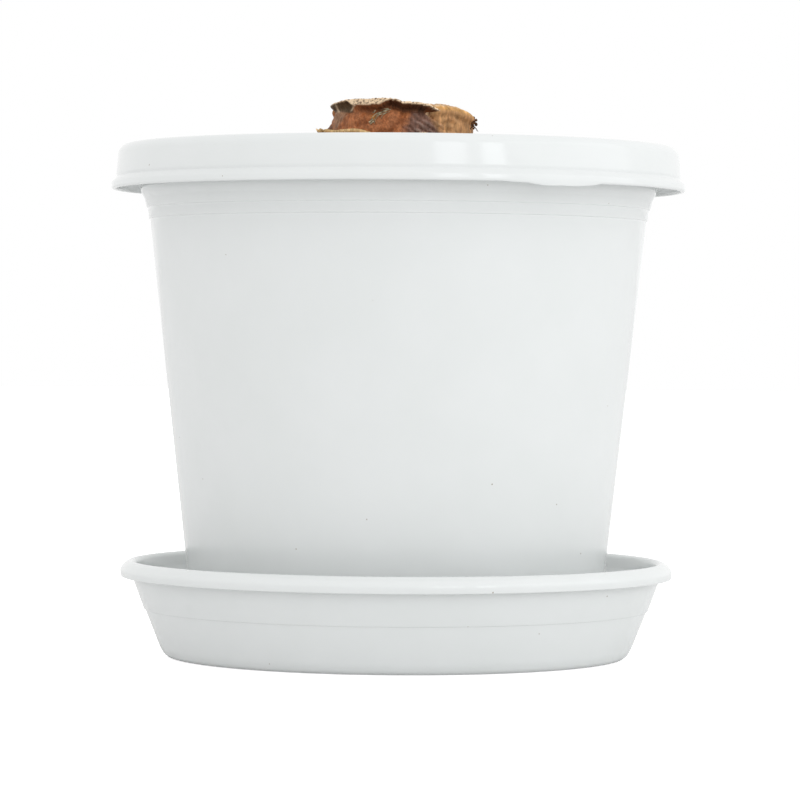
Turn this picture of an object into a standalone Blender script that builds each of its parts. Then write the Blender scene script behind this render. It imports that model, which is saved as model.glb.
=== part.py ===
"""A dormant amaryllis bulb planted in a moulded pot that stands in its saucer.

Four pieces: the saucer, the pot, the potting mix that fills it, and the bulb, whose cut neck stands
just above the rim. Lengths are in millimetres here and become metres in each mesh. The origin is the
middle of the saucer's foot, and +Z is up. The bulb's broad side faces -Y.
"""

import math

import bmesh
import bpy
from mathutils import Vector, noise

MM = 0.001
GAP = 0.3

# Driving dimensions of the pot, the saucer, the fill and the bulb
LIP_RADIUS = 85.0
RIM_TOP_Z = 151.0
SKIRT_DEPTH = 13.1
POT_WALL = 1.4
POT_TAPER = 0.110
SAUCER_LIP_RADIUS = 81.95
SAUCER_LIP_Z = 28.3
SAUCER_FOOT_RADIUS = 66.0
SAUCER_WALL = 1.5
SAUCER_FLARE = 0.38
FILL_Z = 131.0
BULB_BASE_Z = 47.0
BULB_RADIUS = 53.0
NECK_HALF_WIDTH = 20.9
NECK_TOP_Z = 165.0

SEGMENTS = 60
FILL_SEGMENTS = 96

# Saucer: a shallow dish with a turned-down lip, a foot ring and ribs that keep the pot out of the water
FOOT_RECESS = 0.9
SAUCER_FLOOR_Z = FOOT_RECESS + SAUCER_WALL
SAUCER_STEP_Z = 14.0
STEP_DEPTH = 0.35
RIB_COUNT = 8
RIB_HEIGHT = 1.2
RIB_WIDTH = 1.8
RIB_INNER, RIB_OUTER = 14.0, 57.0

# Pot: a tapered cup with a hollow turned-down rim, two nesting steps and drain holes
POT_BASE_Z = SAUCER_FLOOR_Z + RIB_HEIGHT + GAP
POT_BASE_RADIUS = 59.8
POT_RECESS = 1.5
POT_FLOOR_Z = POT_BASE_Z + POT_RECESS + 1.6
LOWER_STEP_Z, UPPER_STEP_Z = 129.3, 132.6
COLLAR_Z = 135.3
DRAIN_COUNT = 8
DRAIN_RADIUS = 4.0
DRAIN_CIRCLE = 42.0
FLASH_ANGLE, FLASH_HALF_WIDTH, FLASH_DEPTH = math.radians(-55.0), math.radians(8.0), 1.0

# Bulb: the heights at which the papery skins end in a torn edge, from the neck down
TEAR_HEIGHTS = (155.6, 147.0, 138.5)
TEAR_WANDER = (0.8, 2.2, 2.6)
SKIN = 0.7
BASAL_RADIUS = 21.0
WIDEST_Z = BULB_BASE_Z + 43.0
OVAL_FROM_Z, OVAL_TO_Z = 125.0, 153.0
NECK_CENTRE_X = 0.8
NECK_DEPTH_SHARE = 0.84
SCALE_RINGS = 5
ROOT_STUBS = 15
BURIED_HEIGHTS = [BULB_BASE_Z + (FILL_Z - 6.0 - BULB_BASE_Z) * (i / 10.0) ** 1.25 for i in range(1, 11)]


def material(name, colour, roughness):
    """A plain opaque finish; colour is linear red, green and blue."""
    finish = bpy.data.materials.new(name)
    finish.use_nodes = True
    shader = finish.node_tree.nodes["Principled BSDF"]
    shader.inputs["Base Color"].default_value = (*colour, 1.0)
    shader.inputs["Roughness"].default_value = roughness
    shader.inputs["Metallic"].default_value = 0.0
    return finish


def node(name, bm, finish, sharp_angle=35.0):
    """Puts the shape in the scene as one named object, smooth but for its sharp edges."""
    bmesh.ops.recalc_face_normals(bm, faces=bm.faces)
    mesh = bpy.data.meshes.new(name)
    bm.to_mesh(mesh)
    bm.free()
    mesh.materials.append(finish)
    mesh.shade_smooth()
    mesh.set_sharp_from_angle(angle=math.radians(sharp_angle))
    obj = bpy.data.objects.new(name, mesh)
    bpy.context.scene.collection.objects.link(obj)
    return obj


def turned(profile):
    """Spins an open profile of (radius, height) points, which starts and ends on the axis, about Z."""
    bm = bmesh.new()
    verts = [bm.verts.new((radius * MM, 0.0, height * MM)) for radius, height in profile]
    edges = [bm.edges.new(pair) for pair in zip(verts, verts[1:])]
    bmesh.ops.spin(
        bm, geom=verts + edges, axis=(0, 0, 1), cent=(0, 0, 0), dvec=(0, 0, 0),
        angle=math.tau, steps=SEGMENTS, use_merge=True,
    )
    bmesh.ops.remove_doubles(bm, verts=bm.verts, dist=0.01 * MM)
    return bm


def lofted(rows, bottom, top):
    """Skins rings of points, given from the bottom up, and closes them onto a bottom and a top point."""
    bm = bmesh.new()
    rings = [[bm.verts.new(Vector(point) * MM) for point in row] for row in rows]
    for lower, upper in zip(rings, rings[1:]):
        for i in range(len(lower)):
            j = (i + 1) % len(lower)
            bm.faces.new((lower[i], lower[j], upper[j], upper[i]))
    for ring, tip in ((rings[0], bottom), (rings[-1], top)):
        centre = bm.verts.new(Vector(tip) * MM)
        for i in range(len(ring)):
            bm.faces.new((ring[i], ring[(i + 1) % len(ring)], centre))
    return bm


def joined(target, operation, pieces):
    """Cuts the pieces from the target, or joins them to it, and keeps them as hidden helpers."""
    helpers = bpy.data.collections.new(target.name + "_helpers")
    bpy.context.scene.collection.children.link(helpers)
    for piece in pieces:
        helpers.objects.link(piece)
        piece.hide_render = True
        piece.display_type = "WIRE"
    boolean = target.modifiers.new("join", "BOOLEAN")
    boolean.operation = operation
    boolean.operand_type = "COLLECTION"
    boolean.collection = helpers
    boolean.solver = "EXACT"


def helper(name, bm):
    mesh = bpy.data.meshes.new(name)
    bm.to_mesh(mesh)
    bm.free()
    return bpy.data.objects.new(name, mesh)


def saucer_outer_radius(height):
    """The saucer's outer wall, which is a little smaller below its step."""
    step = STEP_DEPTH if height < SAUCER_STEP_Z else 0.0
    return SAUCER_FOOT_RADIUS + 3.55 + SAUCER_FLARE * height - step


def make_saucer(finish):
    lip_low_z = SAUCER_LIP_Z - 4.8
    profile = [
        (0.0, FOOT_RECESS),
        (SAUCER_FOOT_RADIUS - 9.0, FOOT_RECESS),
        (SAUCER_FOOT_RADIUS - 8.0, 0.0),
        (SAUCER_FOOT_RADIUS, 0.0),
        (SAUCER_FOOT_RADIUS + 2.4, 0.9),
        (saucer_outer_radius(3.0), 3.0),
        (saucer_outer_radius(SAUCER_STEP_Z - 0.15), SAUCER_STEP_Z - 0.15),
        (saucer_outer_radius(SAUCER_STEP_Z), SAUCER_STEP_Z),
        (saucer_outer_radius(24.5), 24.5),
        (SAUCER_LIP_RADIUS - 3.6, 26.4),
        (SAUCER_LIP_RADIUS - 2.2, 26.0),
        (SAUCER_LIP_RADIUS - 1.3, 24.8),
        (SAUCER_LIP_RADIUS - 1.2, lip_low_z),
        (SAUCER_LIP_RADIUS - 0.3, lip_low_z),
        (SAUCER_LIP_RADIUS, 24.2),
        (SAUCER_LIP_RADIUS - 0.15, 25.9),
        (SAUCER_LIP_RADIUS - 1.05, 27.3),
        (SAUCER_LIP_RADIUS - 2.4, SAUCER_LIP_Z - 0.1),
        (SAUCER_LIP_RADIUS - 3.4, SAUCER_LIP_Z),
        (SAUCER_LIP_RADIUS - 4.5, SAUCER_LIP_Z - 0.6),
        (saucer_outer_radius(24.0) - SAUCER_WALL, 24.0),
        (saucer_outer_radius(SAUCER_STEP_Z - 0.15) - SAUCER_WALL, SAUCER_STEP_Z),
        (saucer_outer_radius(5.0) - SAUCER_WALL, 5.0),
        (SAUCER_FOOT_RADIUS + 1.6, SAUCER_FLOOR_Z + 0.6),
        (SAUCER_FOOT_RADIUS - 1.5, SAUCER_FLOOR_Z),
        (0.0, SAUCER_FLOOR_Z),
    ]
    saucer = node("saucer", turned(profile), finish)
    ribs = []
    sunk = 0.6
    for i in range(RIB_COUNT):
        bm = bmesh.new()
        bmesh.ops.create_cube(bm, size=1.0)
        length = RIB_OUTER - RIB_INNER
        bmesh.ops.scale(bm, vec=(length * MM, RIB_WIDTH * MM, (RIB_HEIGHT + sunk) * MM), verts=bm.verts)
        middle = ((RIB_INNER + RIB_OUTER) / 2 * MM, 0.0, (SAUCER_FLOOR_Z + (RIB_HEIGHT - sunk) / 2) * MM)
        bmesh.ops.translate(bm, vec=middle, verts=bm.verts)
        rib = helper(f"rib_{i}", bm)
        rib.rotation_euler.z = math.tau * (i + 0.5) / RIB_COUNT
        ribs.append(rib)
    joined(saucer, "UNION", ribs)
    return saucer


def pot_outer_radius(height):
    """The tapered wall below the rim, with each nesting step a little proud of what is under it."""
    steps = STEP_DEPTH * ((height >= LOWER_STEP_Z) + (height >= UPPER_STEP_Z))
    return POT_BASE_RADIUS + POT_TAPER * (height - POT_BASE_Z) + steps


def pot_inner_radius(height):
    return pot_outer_radius(min(height, LOWER_STEP_Z - 0.2)) - POT_WALL


def make_pot(finish):
    skirt_z = RIM_TOP_Z - SKIRT_DEPTH
    neck_radius = pot_outer_radius(COLLAR_Z) + 1.6
    profile = [
        (0.0, POT_BASE_Z + POT_RECESS),
        (POT_BASE_RADIUS - 8.0, POT_BASE_Z + POT_RECESS),
        (POT_BASE_RADIUS - 6.8, POT_BASE_Z),
        (POT_BASE_RADIUS - 1.8, POT_BASE_Z),
        (POT_BASE_RADIUS - 0.4, POT_BASE_Z + 0.6),
        (pot_outer_radius(POT_BASE_Z + 2.2), POT_BASE_Z + 2.2),
        (pot_outer_radius(LOWER_STEP_Z - 0.15), LOWER_STEP_Z - 0.15),
        (pot_outer_radius(LOWER_STEP_Z), LOWER_STEP_Z),
        (pot_outer_radius(UPPER_STEP_Z - 0.15), UPPER_STEP_Z - 0.15),
        (pot_outer_radius(UPPER_STEP_Z), UPPER_STEP_Z),
        (pot_outer_radius(COLLAR_Z) + 0.35, COLLAR_Z),
        (neck_radius - 0.5, COLLAR_Z + 1.6),
        (neck_radius, COLLAR_Z + 3.4),
        (neck_radius + 0.3, RIM_TOP_Z - POT_WALL),
        (LIP_RADIUS - 3.6, RIM_TOP_Z - POT_WALL),
        (LIP_RADIUS - 3.1, RIM_TOP_Z - 2.4),
        (LIP_RADIUS - 2.6, skirt_z + 3.4),
        (LIP_RADIUS - 1.6, skirt_z + 1.6),
        (LIP_RADIUS - 1.4, skirt_z),
        (LIP_RADIUS - 0.4, skirt_z),
        (LIP_RADIUS, skirt_z + 0.5),
        (LIP_RADIUS, skirt_z + 1.8),
        (LIP_RADIUS - 0.4, skirt_z + 2.4),
        (LIP_RADIUS - 1.3, skirt_z + 3.6),
        (LIP_RADIUS - 1.9, RIM_TOP_Z - 2.0),
        (LIP_RADIUS - 2.5, RIM_TOP_Z - 0.6),
        (LIP_RADIUS - 3.8, RIM_TOP_Z),
        (neck_radius + 0.4, RIM_TOP_Z),
        (neck_radius - 0.7, RIM_TOP_Z - 0.5),
        (neck_radius - 1.2, RIM_TOP_Z - 1.8),
        (neck_radius - POT_WALL, COLLAR_Z + 3.4),
        (pot_inner_radius(LOWER_STEP_Z) + 0.6, UPPER_STEP_Z),
        (pot_inner_radius(LOWER_STEP_Z), LOWER_STEP_Z - 2.0),
        (pot_inner_radius(POT_FLOOR_Z + 2.5), POT_FLOOR_Z + 2.5),
        (pot_inner_radius(POT_FLOOR_Z) - 2.2, POT_FLOOR_Z),
        (0.0, POT_FLOOR_Z),
    ]
    bm = turned(profile)
    lower_flash(bm, skirt_z)
    pot = node("pot", bm, finish)
    drains = []
    for i in range(DRAIN_COUNT):
        bm = bmesh.new()
        bmesh.ops.create_cone(
            bm, cap_ends=True, segments=12, radius1=DRAIN_RADIUS * MM, radius2=DRAIN_RADIUS * MM, depth=8 * MM,
        )
        drain = helper(f"drain_{i}", bm)
        angle = math.tau * i / DRAIN_COUNT
        place = Vector((DRAIN_CIRCLE * math.cos(angle), DRAIN_CIRCLE * math.sin(angle), POT_FLOOR_Z))
        drain.location = place * MM
        drains.append(drain)
    joined(pot, "DIFFERENCE", drains)
    return pot


def lower_flash(bm, skirt_z):
    """Draws the skirt's lower edge down in a shallow crescent, the flash left by the mould."""
    for vert in bm.verts:
        if vert.co.xy.length < (LIP_RADIUS - 1.5) * MM or abs(vert.co.z - skirt_z * MM) > 0.1 * MM:
            continue
        away = (math.atan2(vert.co.y, vert.co.x) - FLASH_ANGLE) / FLASH_HALF_WIDTH
        if abs(away) < 1:
            vert.co.z -= FLASH_DEPTH * math.cos(away * math.pi / 2) * MM


def bulb_envelope(height):
    """The bulb's radius at a height with no skins: a basal plate, a round body and shoulders into the neck."""
    if height < WIDEST_Z:
        share = max(0.0, (height - BULB_BASE_Z) / (WIDEST_Z - BULB_BASE_Z))
        return BASAL_RADIUS + (BULB_RADIUS - BASAL_RADIUS) * math.sin(share ** 0.72 * math.pi / 2)
    share = min(1.0, (height - WIDEST_Z) / (TEAR_HEIGHTS[0] - WIDEST_Z))
    neck = NECK_HALF_WIDTH - 0.6
    return neck + (BULB_RADIUS - neck) * (0.5 + 0.5 * math.cos(share ** 1.35 * math.pi))


def wobble(angle, height, size, seed):
    """Smooth noise on the bulb's skin, from -1 to 1; size is the width of a bump in millimetres."""
    around = 30.0
    place = (math.cos(angle) * around / size, math.sin(angle) * around / size, height / size + seed * 17.3)
    return noise.noise(place)


def bulb_point(angle, radius, height):
    """A point of the bulb: round below, and oval and a little off centre at the neck."""
    neckness = min(1.0, max(0.0, (height - OVAL_FROM_Z) / (OVAL_TO_Z - OVAL_FROM_Z)))
    depth = 1.0 - (1.0 - NECK_DEPTH_SHARE) * neckness
    return (NECK_CENTRE_X * neckness + radius * math.cos(angle), radius * depth * math.sin(angle), height)


def peeled(angle):
    """How far the topmost torn skin stands away: most on the left, where a flake of it has curled out."""
    left = math.cos(angle - math.pi)
    return 0.4 + 3.6 * max(0.0, left) ** 24


def lip_height(angle):
    """The cut neck's edge: level on the left, a little lower past the middle, and falling away on the right."""
    x = NECK_HALF_WIDTH * math.cos(angle)
    middle = min(1.0, max(0.0, (x + 1.0) / 6.0))
    right = min(1.0, max(0.0, (x - 13.0) / 8.0))
    return NECK_TOP_Z - 0.3 - 1.3 * middle - 2.4 * right * right + 0.5 * wobble(angle, 165.0, 6.0, 5)


def bulb_rows():
    """Rings of points from the basal plate, over the body and its torn skins, to the middle of the cut neck."""
    angles = [math.tau * i / SEGMENTS for i in range(SEGMENTS)]
    rows = []

    def ring(radius_of, height_of):
        rows.append([bulb_point(a, radius_of(a), height_of(a)) for a in angles])

    for radius in (8.0, 14.0, 18.5):
        stub = 0.0 if radius != 14.0 else 1.6
        ring(lambda a, r=radius: r, lambda a, s=stub: BULB_BASE_Z - s * max(0.0, math.cos(ROOT_STUBS * a)))
    for height in BURIED_HEIGHTS:
        ring(lambda a, z=height: bulb_envelope(z) - 0.35 * (1 + wobble(a, z, 9.0, 1)), lambda a, z=height: z)

    tears = list(zip(TEAR_HEIGHTS, TEAR_WANDER))[::-1]
    below = BURIED_HEIGHTS[-1]
    for index, (tear, wander) in enumerate(tears):
        skins = len(tears) - index

        def edge(a, t=tear, w=wander, n=index):
            return t + w * wobble(a, 0.0, 11.0, 3 + n) + 0.5 * w * wobble(a, 0.0, 4.5, 8 + n)

        def surface(a, z, count):
            folds = 0.9 * wobble(a, z * 0.25, 6.0, 2) + 0.5 * math.sin(15 * a + 2 * wobble(a, z, 20.0, 9))
            buried = min(1.0, max(0.0, (z - FILL_Z) / 3.0))
            return bulb_envelope(z) + buried * (SKIN * count + folds) - (1 - buried) * 0.4

        middle = (below + tear) / 2
        ring(lambda a, z=middle, s=skins: surface(a, z, s), lambda a, z=middle: z)
        stand = peeled if index == len(tears) - 1 else (lambda a: 0.35)
        ring(lambda a, s=skins: surface(a, edge(a), s) + stand(a), lambda a: edge(a) + 0.25)
        ring(lambda a, s=skins: surface(a, edge(a), s - 1), lambda a: edge(a) - 0.2)
        below = tear

    # The neck draws in below its cut edge, and the edge curls out over it
    for drop, radius in ((6.8, -0.4), (4.4, -1.2), (2.9, -1.5), (1.3, -0.1), (0.3, 0.1), (0.0, -0.7)):
        ring(
            lambda a, r=radius, d=drop: NECK_HALF_WIDTH + r + 0.5 * wobble(a, 160.0 - d, 6.0, 4),
            lambda a, d=drop: lip_height(a) - d,
        )

    # The cut face: the ends of the fleshy scales stand as rings, with grooves between them
    step = (NECK_HALF_WIDTH - 4.0) / SCALE_RINGS
    for i in range(SCALE_RINGS):
        outer = NECK_HALF_WIDTH - 1.9 - step * i
        sunk = 0.5 * i / SCALE_RINGS
        for radius, drop in ((outer, 1.5), (outer - 0.75 * step, 0.2)):
            ring(
                lambda a, r=radius: r + 0.35 * wobble(a, r, 5.0, 6),
                lambda a, r=radius, d=drop + sunk: (
                    NECK_TOP_Z - 0.4 - d - (NECK_TOP_Z - lip_height(a)) * r / NECK_HALF_WIDTH
                ),
            )
    return rows


def make_bulb(finish):
    rows = bulb_rows()
    bottom = bulb_point(0.0, 0.0, BULB_BASE_Z + 0.5)
    top = bulb_point(0.0, 0.0, NECK_TOP_Z - 3.4)
    return node("bulb", lofted(rows, bottom, top), finish, sharp_angle=50.0)


def make_fill(finish):
    """The potting mix: it fills the pot, its top is crumbly, and the bulb stands in a plain hole in it."""
    angles = [math.tau * i / FILL_SEGMENTS for i in range(FILL_SEGMENTS)]
    bottom_z = POT_FLOOR_Z + GAP
    rows = []

    def ring(radius, height, crumble=0.0):
        row = []
        for a in angles:
            place = Vector((radius * math.cos(a), radius * math.sin(a), 3.1))
            coarse = noise.noise(place / 8.0)
            fine = noise.noise(place / 3.5)
            row.append((place.x, place.y, height + crumble * (coarse + fine)))
        rows.append(row)

    ring(pot_inner_radius(POT_FLOOR_Z) - 2.2 - GAP, bottom_z)
    ring(pot_inner_radius(POT_FLOOR_Z + 2.5) - GAP, POT_FLOOR_Z + 2.5)
    outer = pot_inner_radius(LOWER_STEP_Z) - GAP
    ring(outer, LOWER_STEP_Z - 2.0)
    hole = bulb_envelope(FILL_Z) + 1.2
    spans = 10
    for i in range(spans):
        share = (i + 0.6) / (spans + 0.2)
        mound = 1.6 * (2 * share - 1) ** 2
        ring(outer + (hole - outer) * share, FILL_Z - 1.4 + mound, crumble=1.9)
    ring(hole, FILL_Z - 0.5, crumble=0.8)
    for height in BURIED_HEIGHTS[::-1]:
        ring(bulb_envelope(height) + GAP, height)
    ring(21.5, BULB_BASE_Z - 2.2)
    inner = (0.0, 0.0, BULB_BASE_Z - 2.2)
    return node("potting_mix", lofted(rows, (0.0, 0.0, bottom_z), inner), finish, sharp_angle=60.0)


def main():
    for obj in list(bpy.data.objects):
        bpy.data.objects.remove(obj, do_unlink=True)
    white = material("moulded_polypropylene", (0.80, 0.81, 0.80), 0.35)
    peat = material("peat_and_coir", (0.035, 0.020, 0.012), 0.95)
    skin = material("papery_bulb_skin", (0.30, 0.13, 0.06), 0.75)
    make_saucer(white)
    make_pot(white)
    make_fill(peat)
    make_bulb(skin)


main()
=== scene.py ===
"""A dormant amaryllis bulb planted in a moulded pot that stands in its saucer.

The sections follow the object as it is put together: saucer, pot, potting mix, bulb, the torn skins
and the cut scales of its neck, and then the plain studio it is seen in.
"""

import math
import random

import bmesh
import bpy
from mathutils import Matrix, Vector, noise


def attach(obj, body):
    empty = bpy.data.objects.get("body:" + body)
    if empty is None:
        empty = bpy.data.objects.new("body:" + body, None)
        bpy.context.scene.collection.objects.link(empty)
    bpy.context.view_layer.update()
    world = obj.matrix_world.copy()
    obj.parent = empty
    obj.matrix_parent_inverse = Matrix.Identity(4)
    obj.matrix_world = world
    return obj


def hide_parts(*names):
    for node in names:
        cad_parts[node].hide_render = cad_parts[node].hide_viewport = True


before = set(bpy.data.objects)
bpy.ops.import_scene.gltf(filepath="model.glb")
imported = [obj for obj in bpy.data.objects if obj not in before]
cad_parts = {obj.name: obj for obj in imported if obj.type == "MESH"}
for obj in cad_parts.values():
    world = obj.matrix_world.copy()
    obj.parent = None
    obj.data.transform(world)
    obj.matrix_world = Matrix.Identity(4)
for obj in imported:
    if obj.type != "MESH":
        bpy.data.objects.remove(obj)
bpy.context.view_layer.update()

# Saucer
# One dish of white polypropylene, injection moulded in one shot: a foot ring, a flared wall with one
# nesting step, and a lip rolled out and down to stiffen it. Eight ribs hold the pot above the water.
MM = 0.001
SAUCER_STEPS = 240
SAUCER_PROFILE = (
    # radius, height, and the rounding of that corner
    (0.0, 0.9, 0.0),
    (57.0, 0.9, 0.3),
    (58.0, 0.0, 0.3),
    (67.8, 0.0, 0.15),
    (68.9, 0.8, 0.4),
    (70.0, 2.6, 0.8),
    (74.5, 13.9, 0.0),
    (74.87, 13.95, 0.1),
    (78.7, 24.4, 0.5),
    (78.3, 26.4, 0.3),
    (79.7, 26.1, 0.3),
    (80.6, 24.8, 0.3),
    (80.7, 23.5, 0.2),
    (81.7, 23.5, 0.3),
    (81.95, 25.6, 0.5),
    (81.1, 27.0, 0.7),
    (79.6, 28.1, 0.6),
    (78.5, 28.3, 0.5),
    (77.4, 27.4, 0.6),
    (77.1, 24.0, 0.4),
    (73.0, 13.9, 0.3),
    (69.7, 5.0, 0.8),
    (67.6, 3.0, 1.0),
    (64.5, 2.4, 0.6),
    (0.0, 2.4, 0.0),
)
RIBS, RIB_INNER, RIB_OUTER, RIB_WIDTH, RIB_TOP, RIB_FOOT = 8, 14.0, 57.0, 1.8, 3.6, 1.8
RIB_ROUNDING = 0.4
# Points this near are one, and a ring of edges this near a corner of the profile is that corner
WELD, NEAR_CORNER = 0.003 * MM, 0.002 * MM
# A Mix node's sockets share their names, so its colours, its floats and its colour output go by number
COLOUR_A, COLOUR_B, COLOUR_OUT, FLOAT_A, FLOAT_B = 6, 7, 2, 2, 3


def linear(code):
    """An sRGB hex colour as linear red, green, blue and alpha."""
    parts = [int(code[i : i + 2], 16) / 255 for i in (0, 2, 4)]
    return (*(p / 12.92 if p <= 0.04045 else ((p + 0.055) / 1.055) ** 2.4 for p in parts), 1.0)


def add(tree, kind, inputs=(), **settings):
    """Adds a node, sets it, and gives each named or numbered socket a value or another node's output."""
    made = tree.nodes.new(kind)
    for name, value in settings.items():
        setattr(made, name, value)
    for socket, value in dict(inputs).items():
        if isinstance(value, bpy.types.NodeSocket):
            tree.links.new(value, made.inputs[socket])
        else:
            made.inputs[socket].default_value = value
    return made


def turned(profile, steps):
    """Spins (radius, height, rounding) corners about Z into a closed solid, then rounds each ring."""
    bm = bmesh.new()
    chain = [bm.verts.new((radius * MM, 0.0, height * MM)) for radius, height, _ in profile]
    chain += [bm.edges.new(pair) for pair in zip(chain, chain[1:])]
    bmesh.ops.spin(
        bm, geom=chain, cent=(0, 0, 0), axis=(0, 0, 1), dvec=(0, 0, 0), angle=math.tau, steps=steps,
        use_merge=True,
    )
    bmesh.ops.remove_doubles(bm, verts=bm.verts, dist=WELD)
    bmesh.ops.recalc_face_normals(bm, faces=bm.faces)
    for radius, height, rounding in profile:
        if not rounding:
            continue
        ring = [
            edge
            for edge in bm.edges
            if all(
                abs(vert.co.z - height * MM) < NEAR_CORNER
                and abs(vert.co.xy.length - radius * MM) < NEAR_CORNER
                for vert in edge.verts
            )
        ]
        bmesh.ops.bevel(
            bm, geom=ring, offset=rounding * MM, offset_type="OFFSET", segments=3, profile=0.5,
            affect="EDGES", clamp_overlap=True, material=-1,
        )
    return bm


def piece(name, bm, finish, replaced=(), sharp=40):
    """Makes the mesh a piece of the object: smooth but for its sharp edges, and riding on the body."""
    mesh = bpy.data.meshes.new(name)
    bm.to_mesh(mesh)
    bm.free()
    mesh.materials.append(finish)
    mesh.shade_smooth()
    mesh.set_sharp_from_angle(angle=math.radians(sharp))
    obj = bpy.data.objects.new(name, mesh)
    bpy.context.scene.collection.objects.link(obj)
    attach(obj, "root")
    if replaced:
        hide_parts(*replaced)
    return obj


def moulded_polypropylene(name, clean, clouded, speck):
    """Polypropylene with titanium white, moulded in a polished tool: an even satin gloss, faint clouds
    where the melt flowed, a few specks of dust, and fine rubbed marks that change only the gloss."""
    finish = bpy.data.materials.new(name)
    finish.use_nodes = True
    tree = finish.node_tree
    shader = tree.nodes["Principled BSDF"]
    place = add(tree, "ShaderNodeTexCoord").outputs["Object"]
    # Flow clouds about 25 mm across
    clouds = add(
        tree, "ShaderNodeTexNoise", {"Vector": place, "Scale": 40.0, "Detail": 3.0, "Roughness": 0.55},
    )
    body = add(
        tree, "ShaderNodeMix",
        {"Factor": clouds.outputs["Fac"], COLOUR_A: linear(clean), COLOUR_B: linear(clouded)},
        data_type="RGBA",
    )
    # Dust specks of about 0.5 mm, one in every few 7 mm cells
    cells = add(tree, "ShaderNodeTexVoronoi", {"Vector": place, "Scale": 145.0, "Randomness": 1.0})
    small = add(tree, "ShaderNodeMath", {0: cells.outputs["Distance"], 1: 0.035}, operation="LESS_THAN")
    rare = add(tree, "ShaderNodeSeparateColor", {0: cells.outputs["Color"]})
    some = add(tree, "ShaderNodeMath", {0: rare.outputs["Red"], 1: 0.55}, operation="GREATER_THAN")
    shown = add(tree, "ShaderNodeMath", {0: small.outputs[0], 1: some.outputs[0]}, operation="MULTIPLY")
    colour = add(
        tree, "ShaderNodeMix",
        {"Factor": shown.outputs[0], COLOUR_A: body.outputs[COLOUR_OUT], COLOUR_B: linear(speck)},
        data_type="RGBA",
    )
    # Rubbed marks: long thin streaks round the pot, 2 mm apart, which only dull the gloss
    streaks = add(tree, "ShaderNodeMapping", {"Vector": place, "Scale": (60.0, 60.0, 520.0)})
    rubbed = add(tree, "ShaderNodeTexNoise", {"Vector": streaks.outputs[0], "Scale": 1.0, "Detail": 4.0})
    gloss = add(
        tree, "ShaderNodeMapRange",
        {"Value": rubbed.outputs["Fac"], "From Min": 0.3, "From Max": 0.7, "To Min": 0.08, "To Max": 0.14},
    )
    # The tool's fine skin, 0.9 mm across and some microns deep
    skin = add(tree, "ShaderNodeTexNoise", {"Vector": place, "Scale": 1100.0, "Detail": 2.0})
    relief = add(
        tree, "ShaderNodeBump", {"Height": skin.outputs["Fac"], "Distance": 0.02 * MM, "Strength": 0.35},
    )
    tree.links.new(colour.outputs[COLOUR_OUT], shader.inputs["Base Color"])
    tree.links.new(gloss.outputs[0], shader.inputs["Roughness"])
    tree.links.new(relief.outputs[0], shader.inputs["Normal"])
    shader.inputs["IOR"].default_value = 1.49
    return finish


white_plastic = moulded_polypropylene("moulded_white_polypropylene", "E7E9E9", "E0E3E2", "B0AAA1")

bm = turned(SAUCER_PROFILE, SAUCER_STEPS)
for i in range(RIBS):
    # A rib stands on the floor, sunk a little way into it, with its long top edges rounded
    rib = bmesh.ops.create_cube(bm, size=1.0)["verts"]
    size = ((RIB_OUTER - RIB_INNER) * MM, RIB_WIDTH * MM, (RIB_TOP - RIB_FOOT) * MM)
    bmesh.ops.scale(bm, vec=size, verts=rib)
    middle = Vector(((RIB_INNER + RIB_OUTER) / 2, 0.0, (RIB_TOP + RIB_FOOT) / 2)) * MM
    bmesh.ops.translate(bm, vec=middle, verts=rib)
    turn = Matrix.Rotation(math.tau * (i + 0.5) / RIBS, 3, "Z")
    top = {edge for vert in rib for edge in vert.link_edges if all(v.co.z > middle.z for v in edge.verts)}
    bmesh.ops.rotate(bm, cent=(0, 0, 0), matrix=turn, verts=rib)
    bmesh.ops.bevel(
        bm, geom=list(top), offset=RIB_ROUNDING * MM, segments=2, profile=0.5, affect="EDGES", material=-1,
    )
piece("saucer_moulding", bm, white_plastic, ["saucer"])

# Pot
# One deep cup of the same white polypropylene: a straight tapered wall, two shallow nesting steps, a
# collar, and a wide rim turned down into a hollow skirt with a bead. Drain holes are moulded in its floor.
POT_STEPS = 256
POT_PROFILE = (
    (0.0, 5.4, 0.0),
    (51.8, 5.4, 0.4),
    (53.0, 3.9, 0.4),
    (58.4, 3.9, 0.6),
    (59.8, 5.0, 0.8),
    (73.55, 129.15, 0.0),
    (73.92, 129.3, 0.1),
    (74.25, 132.45, 0.0),
    (74.65, 132.6, 0.1),
    (75.35, 135.3, 0.4),
    (76.5, 137.4, 1.0),
    (76.8, 149.6, 0.5),
    (81.3, 149.6, 0.7),
    (82.2, 142.0, 0.6),
    (83.5, 139.6, 0.5),
    (83.6, 137.9, 0.2),
    (84.75, 137.85, 0.3),
    (85.0, 138.4, 0.2),
    (84.95, 139.9, 0.35),
    (83.45, 141.4, 0.2),
    (83.6, 142.3, 0.2),
    (83.05, 149.2, 0.9),
    (81.4, 151.0, 0.9),
    (76.6, 151.0, 0.6),
    (75.5, 149.6, 0.6),
    (75.1, 138.0, 0.8),
    (72.8, 132.4, 0.4),
    (72.2, 127.0, 0.0),
    (58.6, 9.5, 0.9),
    (56.3, 7.0, 0.8),
    (0.0, 7.0, 0.0),
)
DRAINS, DRAIN_RADIUS, DRAIN_CIRCLE = 8, 4.0, 42.0
DRILL_MIDDLE, DRILL_LENGTH = 6.2, 6.0
# Flash along the skirt's lower edge, at the front right: angle, half angle and depth
FLASHES = ((-63.6, 5.6, 0.35), (-56.0, 8.2, 0.95))
# It hangs from the part of the skirt outside this radius and below this height, and starts softly
FLASH_INSIDE, FLASH_TOP, FLASH_START = 83.4, 138.5, 0.5

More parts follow.
